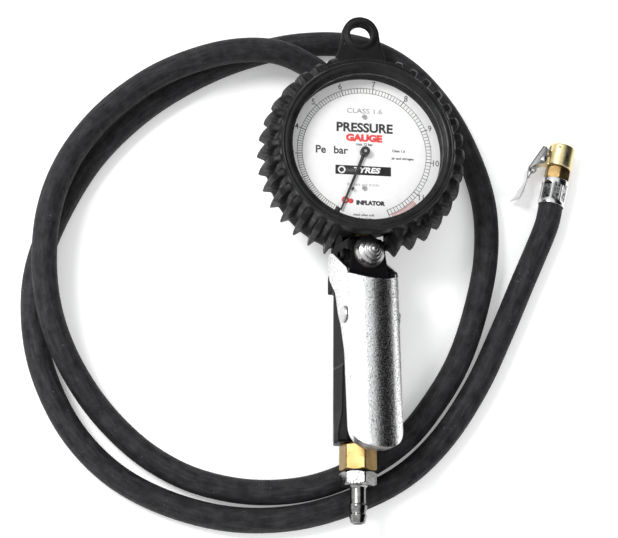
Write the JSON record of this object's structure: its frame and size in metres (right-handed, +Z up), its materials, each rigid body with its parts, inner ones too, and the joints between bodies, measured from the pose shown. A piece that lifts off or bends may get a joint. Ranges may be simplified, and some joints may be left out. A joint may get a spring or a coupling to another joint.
{
  "type": "tire pressure gauge",
  "caption": "Hand-held tyre inflating gun: dial pressure gauge in a finned rubber boot, squeeze lever, air inlet and a rubber hose with a clip-on valve chuck",
  "frame": {"origin": "centre of the gun's footprint on the table, the gun lying on its back (hose left out)", "axes": "+Z up from the table, towards the dial's reader; +Y from the air inlet towards the hanging eye; +X to the right with the dial upright"},
  "size_m": [0.2933, 0.2715, 0.056],
  "materials": {
    "boot_rubber": "matte black moulded rubber, slightly dusty",
    "case_plastic": "black moulded plastic",
    "seal_rubber": "dark soft rubber",
    "clear_lens": "clear polycarbonate window",
    "dial_white": "white printed sheet",
    "pointer_black": "black painted thin sheet",
    "movement_brass": "bright brass stampings",
    "spring_bronze": "phosphor bronze strip and tube",
    "body_black": "glossy black moulded body",
    "lever_chrome": "chrome-plated pressed sheet steel with small pits",
    "steel": "zinc-plated steel",
    "brass": "turned brass with a dull skin",
    "nickel": "nickel-plated turned brass",
    "fibre": "pressed fibre and sintered bronze",
    "hose_rubber": "dark grey-black rubber hose with a cloth-wrap texture"
  },
  "bodies": {
    "gun": {"rubber_boot": "boot_rubber", "gauge_case": "case_plastic", "bezel_ring": "case_plastic", "lens_gasket": "seal_rubber", "lens": "clear_lens", "dial_plate": "dial_white", "dial_screw_upper": "pointer_black", "dial_screw_lower": "pointer_black", "stop_pin": "pointer_black", "bourdon_tube": "spring_bronze", "gauge_socket": "movement_brass", "movement_back_plate": "movement_brass", "movement_front_plate": "movement_brass", "movement_pillar_left": "movement_brass", "movement_pillar_right": "movement_brass", "hairspring": "spring_bronze", "stem_seal": "fibre", "gun_body": "body_black", "lever_pin": "steel", "valve_spring": "steel", "bonnet_washer": "fibre", "valve_bonnet": "steel", "inlet_bushing": "brass", "inlet_filter": "fibre", "inlet_seal": "seal_rubber", "hose_tail": "nickel", "outlet_fitting": "brass", "outlet_ferrule": "steel", "hose": "hose_rubber", "end_ferrule": "steel", "chuck_collar": "brass", "chuck_body": "brass", "chuck_seal": "seal_rubber", "chuck_depressor": "brass", "clip_pin": "steel", "clip_spring": "steel"},
    "lever": {"lever": "lever_chrome", "lever_crossbar": "steel"},
    "spool": {"valve_spool": "brass", "spool_ring": "seal_rubber"},
    "pointer": {"pointer": "pointer_black", "pinion_arbor": "steel"},
    "sector": {"toothed_sector": "movement_brass"},
    "link": {"drag_link": "movement_brass"},
    "clip": {"clip_lever": "steel"}
  },
  "joints": [
    {"name": "lever_squeeze", "type": "hinge", "parent": "gun", "child": "lever", "pos_m": [0.00343, -0.031, 0.03935], "axis": [0.9781, 0, -0.2079], "range_deg": [0, 8], "stiffness_Nm_per_rad": 1.2, "springref_deg": -2.86},
    {"name": "valve_slide", "type": "slide", "parent": "gun", "child": "spool", "axis": [0.2079, 0, 0.9781], "range_m": [0, 0.0047], "deforming": ["valve_spring"]},
    {"name": "sector_turn", "type": "hinge", "parent": "gun", "child": "sector", "pos_m": [-0.0145, 0.0449, 0.037], "axis": [0, 0, 1], "range_deg": [0, 28.2]},
    {"name": "pointer_turn", "type": "hinge", "parent": "gun", "child": "pointer", "pos_m": [0, 0.055, 0.042], "axis": [0, 0, 1], "range_deg": [-311, 0], "deforming": ["hairspring"]},
    {"name": "link_slide", "type": "slide", "parent": "gun", "child": "link", "axis": [-0.9999, 0.015, 0], "range_m": [0, 0.00389]},
    {"name": "clip_open", "type": "hinge", "parent": "gun", "child": "clip", "pos_m": [0.1032, 0.0667, 0.0076], "axis": [0, 0, 1], "range_deg": [0, 12], "stiffness_Nm_per_rad": 0.3, "springref_deg": -2.86, "deforming": ["clip_spring"]}
  ],
  "couplings": [
    {"joint": "valve_slide", "follows": "lever_squeeze", "m_per_rad": 0.03259},
    {"joint": "sector_turn", "follows": "link_slide", "rad_per_m": 126.2},
    {"joint": "pointer_turn", "follows": "link_slide", "rad_per_m": -1388.2}
  ]
}
